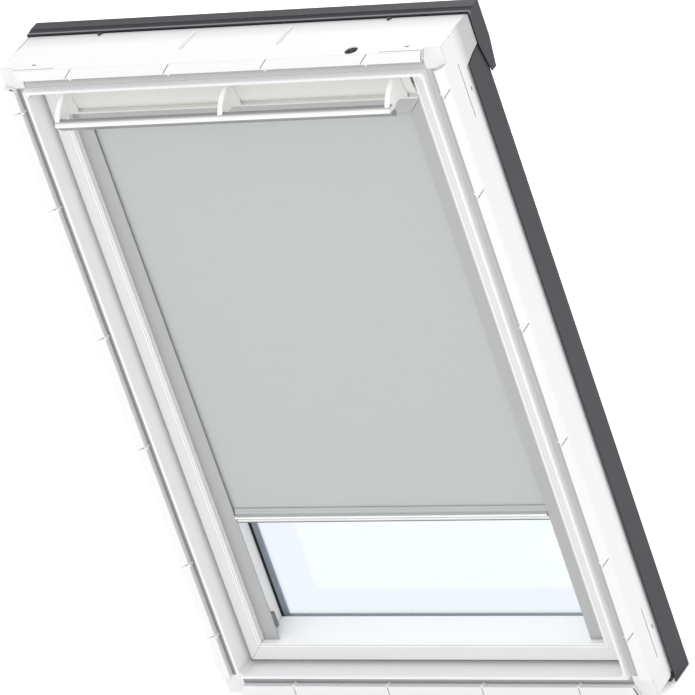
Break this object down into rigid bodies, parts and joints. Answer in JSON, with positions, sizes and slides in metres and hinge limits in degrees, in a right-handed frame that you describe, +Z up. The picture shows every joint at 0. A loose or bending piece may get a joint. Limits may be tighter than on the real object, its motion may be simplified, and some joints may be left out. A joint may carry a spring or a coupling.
{
  "type": "skylight window blind",
  "caption": "White centre-pivot roof window with a grey roller blind in side channels, a top vent flap with control bar, and dark outer cladding.",
  "frame": {"origin": "middle of the flat part of the outer frame's underside, in front of the sill seal", "axes": "+Z up the window, -Y to the room, +Y outdoors, +X to the right seen from the room"},
  "size_m": [0.6634, 0.146, 0.9975],
  "materials": {
    "frame_white": "smooth white polyurethane coat over a wooden core",
    "sash_white": "smooth white polyurethane coat, slightly greyer in the shade of the reveal",
    "cap_grey": "moulded pale grey plastic",
    "cladding": "satin dark grey paint on thin aluminium",
    "seal_black": "black weather seal",
    "blind_aluminium": "satin anodised",
    "bar_silver": "brushed bright anodised, brushed along the bar",
    "flap_white": "off-white satin",
    "steel": "zinc-plated",
    "blind_cloth": "coated opaque pale grey weave",
    "clip_grey": "moulded mid grey plastic",
    "glass": "clear insulating glass"
  },
  "bodies": {
    "frame": {"frame_left": "frame_white", "frame_right": "frame_white", "frame_top": "frame_white", "frame_bottom": "frame_white", "corner_cap_top_left": "cap_grey", "corner_cap_top_right": "cap_grey", "corner_cap_bottom_left": "cap_grey", "corner_cap_bottom_right": "cap_grey", "cable_grommet": "seal_black", "frame_seal": "seal_black", "sill_seal": "seal_black", "pivot_plate_left": "steel", "pivot_plate_right": "steel", "pivot_pin_left": "steel", "pivot_pin_right": "steel", "strike_plate": "steel", "side_cover_left": "cladding", "side_cover_right": "cladding", "upper_cover_left": "cladding", "upper_cover_right": "cladding", "top_hood": "cladding", "sill_cover": "cladding"},
    "sash": {"sash_left": "sash_white", "sash_right": "sash_white", "sash_bottom": "sash_white", "sash_top": "sash_white", "inner_pane": "glass", "outer_pane": "glass", "spacer_bar": "steel", "glazing_gasket": "seal_black", "sash_pivot_left": "steel", "sash_pivot_right": "steel", "glazing_cover": "cladding", "lower_cover_left": "cladding", "lower_cover_right": "cladding", "sash_bottom_cover": "cladding", "flap_pin_left": "steel", "flap_pin_right": "steel", "side_channel_left": "blind_aluminium", "side_channel_right": "blind_aluminium", "channel_foot_left": "clip_grey", "channel_foot_right": "clip_grey", "roller_bracket_left": "clip_grey", "roller_bracket_right": "clip_grey", "blind_casing": "blind_aluminium"},
    "flap": {"vent_flap": "flap_white", "fin_left": "flap_white", "fin_middle": "flap_white", "fin_right": "flap_white", "control_bar": "bar_silver"},
    "latch": {"latch_bolt": "steel"},
    "roller": {"roller_tube": "blind_aluminium", "cloth_roll": "blind_cloth", "roller_journal_left": "steel", "roller_journal_right": "steel", "tension_spring_mandrel": "steel"},
    "blind": {"bottom_bar": "blind_aluminium", "bar_guide_left": "clip_grey", "bar_guide_right": "clip_grey", "blind_cloth": "blind_cloth"}
  },
  "joints": [
    {"name": "sash_pivot", "type": "hinge", "parent": "frame", "child": "sash", "pos_m": [0, 0.067, 0.489], "axis": [1, 0, 0], "range_deg": [0, 135]},
    {"name": "flap_hinge", "type": "hinge", "parent": "sash", "child": "flap", "pos_m": [0, 0.0054, 0.899], "axis": [1, 0, 0], "range_deg": [0, 18]},
    {"name": "latch_slide", "type": "slide", "parent": "sash", "child": "latch", "axis": [0, 0, 1], "range_m": [-0.0041, 0]},
    {"name": "blind_slide", "type": "slide", "parent": "sash", "child": "blind", "axis": [0, 0, 1], "range_m": [-0.186, 0.59], "deforming": ["blind_cloth"]},
    {"name": "roller_spin", "type": "hinge", "parent": "sash", "child": "roller", "pos_m": [0, 0.0267, 0.8866], "axis": [1, 0, 0], "range_deg": [-2800, 885]}
  ],
  "couplings": [
    {"joint": "latch_slide", "follows": "flap_hinge", "m_per_rad": -0.0127},
    {"joint": "roller_spin", "follows": "blind_slide", "rad_per_m": -82.645}
  ]
}
